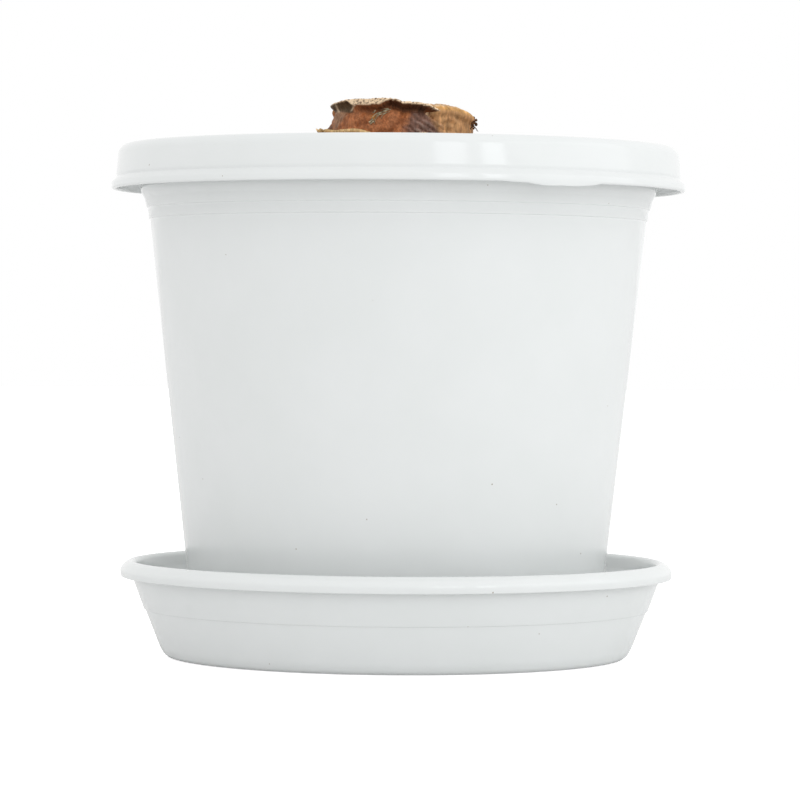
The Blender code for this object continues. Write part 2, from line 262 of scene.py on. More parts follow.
bm = turned(POT_PROFILE, POT_STEPS)
for vert in bm.verts:
    if vert.co.xy.length < FLASH_INSIDE * MM or vert.co.z > FLASH_TOP * MM:
        continue
    angle = math.degrees(math.atan2(vert.co.y, vert.co.x))
    near_edge = min(1.0, (FLASH_TOP * MM - vert.co.z) / (FLASH_START * MM))
    for middle, half, depth in FLASHES:
        if abs(angle - middle) < half:
            vert.co.z -= depth * near_edge * math.cos((angle - middle) / half * math.pi / 2) ** 0.6 * MM
pot = piece("pot_moulding", bm, white_plastic, ["pot"])

bm = bmesh.new()
for i in range(DRAINS):
    drill = bmesh.ops.create_cone(
        bm, cap_ends=True, segments=32, radius1=DRAIN_RADIUS * MM, radius2=DRAIN_RADIUS * MM,
        depth=DRILL_LENGTH * MM,
    )["verts"]
    angle = math.tau * i / DRAINS
    place = Vector((DRAIN_CIRCLE * math.cos(angle), DRAIN_CIRCLE * math.sin(angle), DRILL_MIDDLE))
    bmesh.ops.translate(bm, vec=place * MM, verts=drill)
drill_mesh = bpy.data.meshes.new("drain_drills")
bm.to_mesh(drill_mesh)
bm.free()
drills = bpy.data.objects.new("drain_drills", drill_mesh)
bpy.context.scene.collection.objects.link(drills)
cut = pot.modifiers.new("drains", "BOOLEAN")
cut.operation, cut.object, cut.solver = "DIFFERENCE", drills, "EXACT"
drilled = bpy.data.meshes.new_from_object(pot.evaluated_get(bpy.context.evaluated_depsgraph_get()))
pot.modifiers.clear()
pot.data = drilled
bpy.data.objects.remove(drills)

# Potting mix
# Moist peat with coir and fine bark, poured round the bulb and settled by watering. It is loose, so its
# top is all crumbs, with fibres and chips of bark lying on it.
FILL_TOP = 131.0
FILL_OUTER, FILL_HOLE = 71.8, 33.6
FILL_STEPS, FILL_TOP_ROWS = 400, 76
CRUMBS, COIR_FIBRES, BARK_CHIPS = 900, 110, 90
# The bulb's basal plate, its widest place, and the neck's radius, height above that and drop in width
PLATE_RADIUS, PLATE_HEIGHT = 21.0, 47.0
WIDEST_RADIUS, WIDEST_HEIGHT = 53.0, 90.0
SHOULDER_RADIUS, SHOULDER_RISE, SHOULDER_DROP = 20.3, 65.6, 32.7
# The gap between the bulb and the mix, and the heights of the rows down the hole that it stands in
SEAT_GAP = 0.3
SEAT_HEIGHTS = (127.0, 118.0, 108.0, 98.0, 90.0, 78.0, 66.0, 57.0, 50.0, 47.4)
GRID_WELD = 0.002 * MM


def bulb_envelope(height):
    """The bulb's radius in mm at a height in mm: a basal plate, a round body and shoulders into the neck."""
    if height < WIDEST_HEIGHT:
        share = max(0.0, (height - PLATE_HEIGHT) / (WIDEST_HEIGHT - PLATE_HEIGHT))
        return PLATE_RADIUS + (WIDEST_RADIUS - PLATE_RADIUS) * math.sin(share**0.72 * math.pi / 2)
    share = min(1.0, (height - WIDEST_HEIGHT) / SHOULDER_RISE)
    return SHOULDER_RADIUS + SHOULDER_DROP * (0.5 + 0.5 * math.cos(share**1.35 * math.pi))


def sleeve(rows, steps, arc=math.tau, start=0.0):
    """A spun grid whose height is its row number, so that each point knows its row and its angle."""
    bm = bmesh.new()
    foot = (math.cos(start), math.sin(start))
    chain = [bm.verts.new((*foot, float(row))) for row in range(rows)]
    chain += [bm.edges.new(pair) for pair in zip(chain, chain[1:])]
    bmesh.ops.spin(
        bm, geom=chain, cent=(0, 0, 0), axis=(0, 0, 1), dvec=(0, 0, 0), angle=arc, steps=steps,
        use_merge=arc == math.tau,
    )
    return bm


def shaped(bm, place):
    """Moves each point of a sleeve to place(row, angle), in mm, and closes rows that shrink to a point."""
    for vert in bm.verts:
        row, angle = round(vert.co.z), math.atan2(vert.co.y, vert.co.x)
        vert.co = Vector(place(row, angle)) * MM
    bmesh.ops.remove_doubles(bm, verts=bm.verts, dist=GRID_WELD)
    return bm


def moist_peat(name):
    """Peat and coir: nearly black when wet, browner on the dry crumbs, and no gloss."""
    finish = bpy.data.materials.new(name)
    finish.use_nodes = True
    tree = finish.node_tree
    shader = tree.nodes["Principled BSDF"]
    place = add(tree, "ShaderNodeTexCoord").outputs["Object"]
    # Crumbs of 1.5 mm, with patches of 12 mm that have dried more
    crumbs = add(
        tree, "ShaderNodeTexNoise", {"Vector": place, "Scale": 650.0, "Detail": 5.0, "Roughness": 0.7},
    )
    patches = add(tree, "ShaderNodeTexNoise", {"Vector": place, "Scale": 80.0, "Detail": 2.0})
    mixed = add(
        tree, "ShaderNodeMix",
        {"Factor": 0.45, FLOAT_A: crumbs.outputs["Fac"], FLOAT_B: patches.outputs["Fac"]},
        data_type="FLOAT",
    )
    ramp = add(tree, "ShaderNodeValToRGB", {"Fac": mixed.outputs[0]})
    stops = ramp.color_ramp.elements
    stops[0].position, stops[0].color = 0.34, linear("1C120B")
    stops[1].position, stops[1].color = 0.66, linear("6B4A30")
    middle = stops.new(0.5)
    middle.color = linear("3B2718")
    relief = add(
        tree, "ShaderNodeBump", {"Height": crumbs.outputs["Fac"], "Distance": 0.6 * MM, "Strength": 0.8},
    )
    tree.links.new(ramp.outputs[0], shader.inputs["Base Color"])
    tree.links.new(relief.outputs[0], shader.inputs["Normal"])
    shader.inputs["Roughness"].default_value = 0.93
    shader.inputs["IOR"].default_value = 1.45
    shader.inputs["Specular IOR Level"].default_value = 0.25
    return finish


peat = moist_peat("peat_and_coir_mix")


def fill_height(x, y):
    """The height of the mix's top at a point, in mm: lumps of 8 mm, crumbs of 3 mm and grains of 1.4 mm."""
    radius = math.hypot(x, y)
    mound = 1.6 * (2 * (FILL_OUTER - radius) / (FILL_OUTER - FILL_HOLE) - 1) ** 2
    lumps = 1.3 * noise.noise((x / 8.0, y / 8.0, 3.1))
    crumbs = 1.1 * noise.noise((x / 3.2, y / 3.2, 7.7)) + 0.7 * noise.noise((x / 1.4, y / 1.4, 1.3))
    return FILL_TOP - 1.4 + mound + lumps + crumbs


# From the middle of its underside, up the pot's wall, over the top, down round the bulb to its seat
fill_rows = [(0.0, 7.3), (28.0, 7.3), (55.9, 7.3), (58.2, 9.6), (65.0, 68.0), (71.8, 127.4)]
fill_rows += [
    (FILL_OUTER + (FILL_HOLE - FILL_OUTER) * i / (FILL_TOP_ROWS - 1), None) for i in range(FILL_TOP_ROWS)
]
fill_rows += [(bulb_envelope(z) + SEAT_GAP, z) for z in SEAT_HEIGHTS]
fill_rows += [(20.0, 44.8), (0.0, 44.8)]


def fill_point(row, angle):
    radius, height = fill_rows[row]
    x, y = radius * math.cos(angle), radius * math.sin(angle)
    return x, y, fill_height(x, y) if height is None else height


bm = shaped(sleeve(len(fill_rows), FILL_STEPS), fill_point)
bmesh.ops.recalc_face_normals(bm, faces=bm.faces)
piece("peat_fill", bm, peat, ["potting_mix"], sharp=80)

# Loose crumbs lie on top of the mix
rng = random.Random(11)
bm = bmesh.new()
for _ in range(CRUMBS):
    radius = math.sqrt(rng.uniform((FILL_HOLE + 2.5) ** 2, (FILL_OUTER - 1.5) ** 2))
    angle = rng.uniform(0.0, math.tau)
    x, y = radius * math.cos(angle), radius * math.sin(angle)
    size = rng.uniform(0.5, 1.1) * rng.choice((1.0, 1.0, 1.0, 1.6))
    crumb = bmesh.ops.create_icosphere(bm, subdivisions=1, radius=size * MM)["verts"]
    squash = Vector((rng.uniform(0.7, 1.3), rng.uniform(0.7, 1.3), rng.uniform(0.5, 0.9)))
    for vert in crumb:
        vert.co *= 1.0 + 0.45 * noise.noise(vert.co * 900.0 + Vector((x, y, 0.0)))
    bmesh.ops.scale(bm, vec=squash, verts=crumb)
    spin = Matrix.Rotation(rng.uniform(0, math.tau), 3, "Z") @ Matrix.Rotation(rng.uniform(-0.6, 0.6), 3, "X")
    bmesh.ops.rotate(bm, cent=(0, 0, 0), matrix=spin, verts=crumb)
    bmesh.ops.translate(bm, vec=Vector((x, y, fill_height(x, y) + 0.15 * size)) * MM, verts=crumb)
piece("peat_crumbs", bm, peat, sharp=50)


def strand(bm, points, radius):
    """A closed six-sided fibre through a few points in mm."""
    made = bmesh.ops.create_circle(bm, cap_ends=True, segments=6, radius=radius * MM)["verts"]
    face = made[0].link_faces[0]
    along = (Vector(points[1]) - Vector(points[0])).to_track_quat("Z", "Y").to_matrix()
    bmesh.ops.rotate(bm, cent=(0, 0, 0), matrix=along, verts=made)
    bmesh.ops.translate(bm, vec=Vector(points[0]) * MM, verts=made)
    for start, end in zip(points, points[1:]):
        grown = bmesh.ops.extrude_face_region(bm, geom=[face])["geom"]
        tip = [part for part in grown if isinstance(part, bmesh.types.BMVert)]
        bmesh.ops.translate(bm, vec=(Vector(end) - Vector(start)) * MM, verts=tip)
        face = next(part for part in grown if isinstance(part, bmesh.types.BMFace))


def fibrous(name, dark, pale, gloss):
    """Plant fibre and bark: dry, dull and streaked between two tones."""
    finish = bpy.data.materials.new(name)
    finish.use_nodes = True
    tree = finish.node_tree
    shader = tree.nodes["Principled BSDF"]
    place = add(tree, "ShaderNodeTexCoord").outputs["Object"]
    # Streaks and spots of 1 mm, and a rough skin of 0.3 mm
    spots = add(
        tree, "ShaderNodeTexNoise", {"Vector": place, "Scale": 900.0, "Detail": 4.0, "Roughness": 0.7},
    )
    spread = add(
        tree, "ShaderNodeMapRange", {"Value": spots.outputs["Fac"], "From Min": 0.35, "From Max": 0.65},
    )
    colour = add(
        tree, "ShaderNodeMix",
        {"Factor": spread.outputs[0], COLOUR_A: linear(dark), COLOUR_B: linear(pale)}, data_type="RGBA",
    )
    skin = add(tree, "ShaderNodeTexNoise", {"Vector": place, "Scale": 3000.0, "Detail": 2.0})
    relief = add(
        tree, "ShaderNodeBump", {"Height": skin.outputs["Fac"], "Distance": 0.1 * MM, "Strength": 0.6},
    )
    tree.links.new(colour.outputs[COLOUR_OUT], shader.inputs["Base Color"])
    tree.links.new(relief.outputs[0], shader.inputs["Normal"])
    shader.inputs["Roughness"].default_value = gloss
    shader.inputs["IOR"].default_value = 1.45
    return finish


# Coir fibres lie in loose arcs on the crumbs
bm = bmesh.new()
for _ in range(COIR_FIBRES):
    radius = math.sqrt(rng.uniform((FILL_HOLE + 6.0) ** 2, (FILL_OUTER - 7.0) ** 2))
    angle, heading, bend = rng.uniform(0.0, math.tau), rng.uniform(0.0, math.tau), rng.uniform(-0.5, 0.5)
    x, y, step = radius * math.cos(angle), radius * math.sin(angle), rng.uniform(0.8, 1.8)
    points = []
    for i in range(8):
        points.append((x, y, fill_height(x, y) + 0.35 + 0.5 * math.sin(i / 7 * math.pi)))
        x, y, heading = x + step * math.cos(heading), y + step * math.sin(heading), heading + bend
        reach = math.hypot(x, y)
        kept = min(FILL_OUTER - 1.5, max(FILL_HOLE + 4.0, reach)) / reach
        x, y = x * kept, y * kept
    strand(bm, points, rng.uniform(0.1, 0.2))
bmesh.ops.recalc_face_normals(bm, faces=bm.faces)
piece("coir_fibres", bm, fibrous("coir_fibre", "6E4A2B", "B98D5C", 0.7))

# Chips of composted bark lie flat among the crumbs
bm = bmesh.new()
for _ in range(BARK_CHIPS):
    radius = math.sqrt(rng.uniform((FILL_HOLE + 6.0) ** 2, (FILL_OUTER - 4.0) ** 2))
    angle = rng.uniform(0.0, math.tau)
    x, y = radius * math.cos(angle), radius * math.sin(angle)
    chip = bmesh.ops.create_cube(bm, size=1.0)["verts"]
    shape = Vector((rng.uniform(2.0, 5.0), rng.uniform(1.4, 3.0), rng.uniform(0.6, 1.2))) * MM
    bmesh.ops.scale(bm, vec=shape, verts=chip)
    for vert in chip:
        vert.co += Vector([rng.uniform(-0.3, 0.3) * side for side in shape])
    spin = Matrix.Rotation(rng.uniform(0, math.tau), 3, "Z") @ Matrix.Rotation(rng.uniform(-0.3, 0.3), 3, "X")
    bmesh.ops.rotate(bm, cent=(0, 0, 0), matrix=spin, verts=chip)
    bmesh.ops.translate(bm, vec=Vector((x, y, fill_height(x, y) + 0.2)) * MM, verts=chip)
    rims = list({edge for vert in chip for edge in vert.link_edges})
    bmesh.ops.bevel(
        bm, geom=rims, offset=0.25 * MM, segments=2, profile=0.5, affect="EDGES", material=-1,
    )
bark = fibrous("composted_bark", "3A2517", "7A5233", 0.85)
piece("bark_chips", bm, bark, sharp=30)

# Bulb
# One grown piece: a flat basal plate, a fat body of leaf bases packed one round another, and a neck that
# was cut across when the leaves died back, so the ends of the leaf bases show as rings in its top.
NECK_X, NECK_DEPTH = 0.8, 0.84
NECK_RADIUS = 20.9
# The neck's side runs from NECK_FOOT to LIP_FOOT, and its lip to CUT_LEVEL, where the cut top begins
NECK_FOOT, LIP_FOOT, LIP_HEIGHT, CUT_LEVEL, CUT_RADIUS = 129.0, 160.0, 3.6, 163.6, 19.6
BULB_STEPS, NECK_ROWS, LIP_ROWS, CUT_ROWS = 360, 62, 8, 52
BODY_HEIGHTS = (47.5, 49.5, 52.5, 57.0, 63.0, 70.0, 79.0, 90.0, 100.0, 109.0, 117.0, 123.0, 127.0)
RING_SPACING = 2.3
# Noise and grain are laid out round the neck on these radii, and the grain is drawn out along the leaf
RIPPLE_RADIUS, GRAIN_RADIUS, GRAIN_LEVEL, GRAIN_STRETCH = 21.0, 25.0, 137.0, 0.12
# The cut top's outline seen from the front: x and height
CORE_EDGE = ((9.7, 162.9), (15.4, 162.8), (17.6, 162.5), (20.0, 161.7), (21.7, 160.9))


def smooth(low, high, value):
    """0 below low, 1 above high, and a smooth rise between them."""
    share = min(1.0, max(0.0, (value - low) / (high - low)))
    return share * share * (3.0 - 2.0 * share)


def hump(value, middle, width):
    """1 at the middle, and a smooth fall to nothing about two widths away."""
    return math.exp(-(((value - middle) / width) ** 2))


def mix(a, b, share):
    """A blend of two colours: a where share is 0, and b where it is 1."""
    return tuple(p + (q - p) * share for p, q in zip(a, b))


def bulb_at(radius, angle, height):
    """A point round the bulb's own axis: round below the soil, and oval and off centre at the neck."""
    neckness = min(1.0, max(0.0, (height - 125.0) / 28.0))
    depth = 1.0 - (1.0 - NECK_DEPTH) * neckness
    return NECK_X * neckness + radius * math.cos(angle), radius * depth * math.sin(angle), height


def ripple(angle, height, across, along, seed):
    """Noise on the bulb's skin from -1 to 1, in bumps that are across mm wide and along mm tall."""
    x, y = RIPPLE_RADIUS * math.cos(angle), RIPPLE_RADIUS * math.sin(angle)
    return noise.noise((x / across, y / across, height / along + seed))


def dry_skin(name, gloss):
    """Dead leaf bases: thin, brown and papery, with lengthwise veins, a dull sheen where they are smooth,
    and open pale cells where they are cut. The piece's own tint carries the patches of colour, and on the
    neck scale also painted shade and painted highlights."""
    finish = bpy.data.materials.new(name)
    finish.use_nodes = True
    tree = finish.node_tree
    shader = tree.nodes["Principled BSDF"]
    grain = add(tree, "ShaderNodeAttribute", attribute_name="grain").outputs["Vector"]
    tint = add(tree, "ShaderNodeAttribute", attribute_name="tint").outputs["Color"]
    cut = add(tree, "ShaderNodeAttribute", attribute_name="cut").outputs["Fac"]
    place = add(tree, "ShaderNodeTexCoord").outputs["Object"]
    # Veins 0.7 mm apart, blotches 2.4 mm across, and pores of 0.8 mm in the cut face
    veins = add(
        tree, "ShaderNodeTexNoise", {"Vector": grain, "Scale": 1400.0, "Detail": 4.0, "Roughness": 0.65},
    )
    blotches = add(
        tree, "ShaderNodeTexNoise", {"Vector": place, "Scale": 420.0, "Detail": 5.0, "Roughness": 0.7},
    )
    pores = add(tree, "ShaderNodeTexVoronoi", {"Vector": place, "Scale": 1300.0, "Randomness": 1.0})
    light = add(
        tree, "ShaderNodeMapRange",
        {"Value": veins.outputs["Fac"], "From Min": 0.3, "From Max": 0.7, "To Min": 0.66, "To Max": 1.28},
    )
    shade = add(
        tree, "ShaderNodeMapRange",
        {"Value": blotches.outputs["Fac"], "From Min": 0.32, "From Max": 0.68, "To Min": 0.62, "To Max": 1.3},
    )
    both = add(tree, "ShaderNodeMath", {0: light.outputs[0], 1: shade.outputs[0]}, operation="MULTIPLY")
    deep = add(
        tree, "ShaderNodeMapRange",
        {
            "Value": pores.outputs["Distance"],
            "From Min": 0.12, "From Max": 0.45, "To Min": 0.45, "To Max": 1.05,
        },
    )
    value = add(
        tree, "ShaderNodeMix", {"Factor": cut, FLOAT_A: both.outputs[0], FLOAT_B: deep.outputs[0]},
        data_type="FLOAT",
    )
    colour = add(tree, "ShaderNodeVectorMath", {0: tint, "Scale": value.outputs[0]}, operation="SCALE")
    height = add(
        tree, "ShaderNodeMix",
        {"Factor": cut, FLOAT_A: veins.outputs["Fac"], FLOAT_B: pores.outputs["Distance"]},
        data_type="FLOAT",
    )
    fine = add(tree, "ShaderNodeBump", {"Height": height.outputs[0], "Distance": 0.25 * MM, "Strength": 0.7})
    relief = add(
        tree, "ShaderNodeBump",
        {"Height": blotches.outputs["Fac"], "Distance": 0.4 * MM, "Strength": 0.6, "Normal": fine.outputs[0]},
    )
    tree.links.new(colour.outputs[0], shader.inputs["Base Color"])
    tree.links.new(relief.outputs[0], shader.inputs["Normal"])
    shader.inputs["Roughness"].default_value = gloss
    shader.inputs["IOR"].default_value = 1.45
    shader.inputs["Specular IOR Level"].default_value = 0.3
    return finish


leaf_base = dry_skin("dry_leaf_bases_of_the_bulb", 0.62)

TERRACOTTA, RUST, TAN = linear("B67349"), linear("97572F"), linear("C59565")
CREAM, OCHRE, UMBER = linear("EFD3B0"), linear("D9A25C"), linear("5C3B27")
SLATE, PURPLE, FLAP = linear("9A785D"), linear("795B50"), linear("5E4C36")


def painted(bm, tint_of, cut_of, stretch_of=lambda x: GRAIN_STRETCH):
    """Gives each point its colour, how far it is a cut face, and its place along and across the grain."""
    tint = bm.verts.layers.float_color.new("tint")
    cut = bm.verts.layers.float.new("cut")
    grain = bm.verts.layers.float_vector.new("grain")
    for vert in bm.verts:
        x, y, z = vert.co / MM
        angle = math.atan2(y / NECK_DEPTH, x - NECK_X)
        out = math.hypot(x - NECK_X, y)
        vert[tint] = tint_of(x, y, z, angle)
        vert[cut] = cut_of(x, y, z)
        vert[grain] = (
            GRAIN_RADIUS * MM * math.cos(angle),
            GRAIN_RADIUS * MM * math.sin(angle),
            (z - out - GRAIN_LEVEL) * stretch_of(x) * MM,
        )


def between(points, x):
    """The height at x on a line through a few (x, height) points."""
    for (x0, z0), (x1, z1) in zip(points, points[1:]):
        if x <= x1:
            return z0 + (z1 - z0) * max(0.0, (x - x0) / (x1 - x0))
    return points[-1][1]


def core_lip(angle):
    """The height of the cut neck's top, which is level and then falls away at the far right."""
    x = NECK_X + NECK_RADIUS * math.cos(angle)
    level = between(CORE_EDGE, x) + 0.5 * smooth(-0.3, 0.5, math.sin(angle)) * smooth(14.0, 8.0, x)
    level += 0.2 * ripple(angle, 0.0, 3.0, 3.0, 5.0) + 0.12 * ripple(angle, 0.0, 0.9, 3.0, 6.0)
    return level - 0.4 * kept_back(angle, LIP_FOOT)


def front_degrees(angle):
    """An angle in degrees from -360 to 0, where the front is -90."""
    degrees = math.degrees(angle)
    return degrees - 360.0 * (degrees > 0.0)


def kept_back(angle, height):
    """How far the neck lies back under the scale that covers its front."""
    degrees = front_degrees(angle)
    back = 3.2 * smooth(-186.0, -172.0, degrees) * smooth(-60.0, -70.0, degrees)
    return back * smooth(150.0, 156.0, height)


# Rows of the bulb: its basal plate and body, then the neck at close spacing, the lip, and the cut top
body_rows = [(radius, PLATE_HEIGHT) for radius in (0.0, 8.0, 14.0, 18.5)]
body_rows += [(None, z) for z in BODY_HEIGHTS]
body_rows += [(None, NECK_FOOT + (LIP_FOOT - NECK_FOOT) * i / (NECK_ROWS - 1)) for i in range(NECK_ROWS)]
first_lip = len(body_rows)
first_top = first_lip + LIP_ROWS
bulb_rows = first_top + CUT_ROWS


def bulges(x, y, height):
    """Swellings of the neck's side in mm: the whole right side, its edge, and an eye-shaped wrinkle."""
    right = 0.75 * smooth(8.5, 12.0, x) * smooth(6.0, 0.0, y) + 0.4 * smooth(17.0, 21.5, x)
    right *= smooth(150.0, 156.5, height) * smooth(164.0, 161.5, height)
    eye = math.hypot((x - 14.6) / 1.25, height - 156.4)
    wrinkle = 0.35 * math.cos(eye * 2.6) * smooth(4.2, 1.5, eye) * smooth(0.0, -2.0, y)
    return right + wrinkle


def leaf_ring(x, y):
    """The rings of leaf bases in the cut top: 1 on the cut end of a base, -1 in the gap between two."""
    radius = math.hypot(x, y)
    wave = 1.3 * noise.noise((x / 7.0, y / 7.0, 8.0)) + 0.25 * noise.noise((x / 1.6, y / 1.6, 5.0))
    return math.cos((radius + wave) / RING_SPACING * math.tau)


def core_point(row, angle):
    """A point of the bulb: its body and neck, then the lip, then the cut top. All follow the cut edge."""
    fall = core_lip(angle) - CUT_LEVEL
    if row < first_lip:
        radius, height = body_rows[row]
        if radius is not None:
            stubs = 1.4 * max(0.0, math.cos(15 * angle)) if 10.0 < radius < 18.0 else 0.0
            return bulb_at(radius, angle, height - stubs)
        relief = 0.5 * ripple(angle, height, 2.2, 30.0, 2.0) + 0.3 * ripple(angle, height, 0.9, 12.0, 4.0)
        drop = smooth(150.0, LIP_FOOT, height) * fall
        x, y, _ = bulb_at(20.5, angle, height)
        out = bulb_envelope(height) - 0.3 + relief - kept_back(angle, height) + bulges(x, y, height + drop)
        return bulb_at(out, angle, height + drop)
    if row < first_top:
        share = (row - first_lip + 1) / LIP_ROWS
        lean = 0.9 * math.sin(share * math.pi)
        relief = 0.35 * ripple(angle, 0.0, 1.6, 9.0, 2.0)
        height = LIP_FOOT + LIP_HEIGHT * share + fall
        x, y, _ = bulb_at(20.5, angle, height)
        out = 20.0 + relief + lean - 0.7 * share * share - kept_back(angle, LIP_FOOT) + bulges(x, y, height)
        return bulb_at(out, angle, height)
    # The cut top: each leaf base ends in a low ring, sunk a little more towards the middle
    share = (row - first_top + 1) / CUT_ROWS
    radius = (CUT_RADIUS - kept_back(angle, LIP_FOOT)) * (1.0 - share)
    x, y = radius * math.cos(angle), radius * math.sin(angle)
    ring = leaf_ring(x, y)
    sunk = 0.4 + 1.1 * smooth(0.0, 0.25, share) + 1.0 * share - 0.8 * ring * (1.0 - share**6)
    crumble = 0.55 * noise.noise((x / 1.3, y / 1.3, 2.0)) + 0.35 * noise.noise((x / 3.5, y / 3.5, 6.0))
    level = CUT_LEVEL + fall * radius / CUT_RADIUS
    return bulb_at(radius, angle, level - sunk + crumble)


def core_tint(x, y, z, angle):
    """The colour of the bulb at a point: worn brown sides, a pale edge, and dried rings in the cut top."""
    inward = math.hypot(x - NECK_X, y / NECK_DEPTH) / NECK_RADIUS
    spots = noise.noise((x / 2.5, y / 2.5, z / 2.5))
    worn = smooth(-0.5, 0.6, spots + 0.3 * noise.noise((x / 6.0, y / 6.0, z / 9.0)))
    tone = mix(TAN, RUST, worn * (1.0 - 0.7 * smooth(6.0, 11.0, x) * smooth(2.0, -4.0, y)))
    tone = mix(tone, TERRACOTTA, smooth(2.0, -12.0, x) * 0.7)
    fine = noise.noise((x / 0.8, y / 0.8, z / 0.8))
    below = between(CORE_EDGE, x) - z
    tone = mix(tone, OCHRE, 0.9 * smooth(1.9, 0.9, below + 0.5 * fine))
    tone = mix(tone, CREAM, 0.85 * smooth(0.55, 0.1, below + 0.5 * fine))
    ring = leaf_ring(x - NECK_X, y / NECK_DEPTH)
    dried = mix(mix(UMBER, TAN, smooth(-0.9, 0.1, ring)), CREAM, 0.55 * smooth(0.2, 0.95, ring + 0.4 * spots))
    dried = mix(dried, UMBER, 0.45 * smooth(0.1, 0.5, noise.noise((x / 4.0, y / 4.0, 3.0))))
    return mix(tone, dried, smooth(0.955, 0.915, inward))


def core_cut(x, y, z):
    """1 on the cut top, and 0 on the neck's side."""
    inward = math.hypot(x - NECK_X, y / NECK_DEPTH) / NECK_RADIUS
    return smooth(0.99, 0.92, inward) * smooth(158.0, 160.5, z)


bm = shaped(sleeve(bulb_rows, BULB_STEPS), core_point)
bmesh.ops.recalc_face_normals(bm, faces=bm.faces)
painted(bm, core_tint, core_cut)
piece("bulb_body", bm, leaf_base, ["bulb"], sharp=80)

# Outer skins
# Three papery leaf bases wrap the bulb's shoulders and dry first. Each is a thin closed sheet that has
# split and torn off round its top, and the outermost one has curled away on the left.
SKIN_STEPS, SKIN_RISE, SKIN_FALL = 300, 44, 12
SKIN_FOOT = 127.0


def tear(angle, level, wander, seed, rise):
    """The height of a skin's torn edge, with a few deep splits down it, and higher where rise says so."""
    split = max(0.0, math.cos(3 * angle + seed)) ** 40
    split += 0.7 * max(0.0, math.cos(2 * angle - 1.7 * seed)) ** 60
    ragged = ripple(angle, 0.0, 9.0, 1.0, seed) + 0.5 * ripple(angle, 0.0, 2.6, 1.0, seed + 3.0)
    ragged += 0.35 * ripple(angle, 0.0, 0.8, 1.0, seed + 5.0) - 1.6 * split
    lifted = rise(angle)
    return level + lifted + wander * ragged * (1.0 - 0.75 * min(1.0, lifted))


def curl(angle):
    """How far the outermost skin has curled off the neck: most in the flake on the left."""
    return 0.35 + 4.0 * hump(math.degrees(angle) % 360.0, 185.0, 9.0)


def kept_high(angle):
    """How much higher the outermost skin is left on the left side and round to the front."""
    degrees = math.degrees(angle) % 360.0
    flake = 1.6 * hump(degrees, 184.0, 10.0) * (1.0 + 0.25 * math.sin(degrees * 1.3))
    return flake + 1.25 * smooth(180.0, 194.0, degrees) * smooth(256.0, 226.0, degrees)


def torn_skin(name, level, wander, seed, layers, curls, outside, edge, lift=lambda angle: 0.0):
    """One skin: a thin sheet round the neck that rises to its torn edge and comes back down inside."""
    pale, dark, torn = (linear(code) for code in (*outside, edge))

    def point(row, angle):
        top = tear(angle, level, wander, seed, lift)
        inner = row > SKIN_RISE
        share = 1.0 - (row - SKIN_RISE - 1) / (SKIN_FALL - 1) if inner else row / SKIN_RISE
        height = SKIN_FOOT + (top - SKIN_FOOT) * share**0.8
        reach = 0.55 * layers + 0.35 * ripple(angle, height, 1.8, 16.0, seed) * share
        reach += 0.25 * ripple(angle, height, 5.0, 8.0, seed + 1.0)
        away = curls(angle) * smooth(0.86, 1.0, share) - 0.5 * (1.0 - smooth(0.0, 0.1, share))
        return bulb_at(bulb_envelope(height) + reach + away - 0.4 * inner, angle, height - 0.12 * inner)

    bm = shaped(sleeve(SKIN_RISE + SKIN_FALL + 1, SKIN_STEPS), point)
    # The sheet's two lower edges meet inside the mix
    hem = [edge for edge in bm.edges if edge.is_boundary]
    bmesh.ops.bridge_loops(bm, edges=hem)
    bmesh.ops.recalc_face_normals(bm, faces=bm.faces)

    def tint(x, y, z, angle):
        top = tear(angle, level, wander, seed, lift)
        spots = noise.noise((x / 4.0, y / 4.0, z / 9.0 + seed))
        tone = mix(pale, dark, smooth(-0.4, 0.5, spots))
        tone = mix(tone, UMBER, 0.5 * smooth(0.1, 0.7, ripple(angle, z, 2.5, 25.0, seed + 7.0)))
        tone = mix(tone, SLATE, 0.6 * smooth(135.0, 130.0, z))
        return mix(tone, torn, smooth(1.3, 0.3, top - z))

    painted(bm, tint, lambda x, y, z: 0.0)
    piece(name, bm, leaf_base, sharp=80)


torn_skin("skin_lowest", 138.5, 2.2, 2.0, 3.0, lambda a: 0.5, ("8F6440", "6C4529"), "C9A678")
torn_skin("skin_middle", 147.5, 2.0, 5.0, 2.0, lambda a: 0.5, ("A87A50", "7E5435"), "D4B486")
torn_skin("skin_upper", 154.3, 0.9, 9.0, 1.2, curl, ("C4915C", "9C6636"), "F2CE94", kept_high)

# Neck scale
# The leaf base that was outermost when the neck was cut. It has dried to leather across the front, its
# cut end is a pale porous band, and it has curled out over the hollow beneath it.
SCALE_FROM, SCALE_TO, SCALE_FOOT = -190.0, -48.0, 148.0
SCALE_STEPS, SCALE_RISE, SCALE_FACE, SCALE_FALL = 300, 46, 8, 12
MAUVE, AMBER, MAHOGANY = linear("BCA497"), linear("C78A2E"), linear("8F4E1E")
# The cut edge seen from the front: x and height
CUT_EDGE = (
    (-20.1, 163.5), (-15.6, 164.4), (-11.5, 164.5), (-9.0, 164.3), (-4.8, 164.6), (-0.6, 164.3),
    (0.9, 163.6), (4.8, 163.4), (8.5, 163.0), (13.2, 160.7), (14.6, 157.5),
)


def scale_lip(x):
    """The height of the scale's cut end, which is slightly jagged."""
    jagged = 0.22 * noise.noise((x / 0.7, 3.0, 0.0)) + 0.2 * noise.noise((x / 2.2, 9.0, 0.0))
    return between(CUT_EDGE, x) + jagged


def face_height(x):
    """How tall the cut face shows: a broad band left of the middle, and a thin line elsewhere."""
    return 0.35 + 1.35 * smooth(-15.5, -13.5, x) * smooth(-2.5, -6.0, x) + 0.25 * smooth(-2.0, 2.0, x)


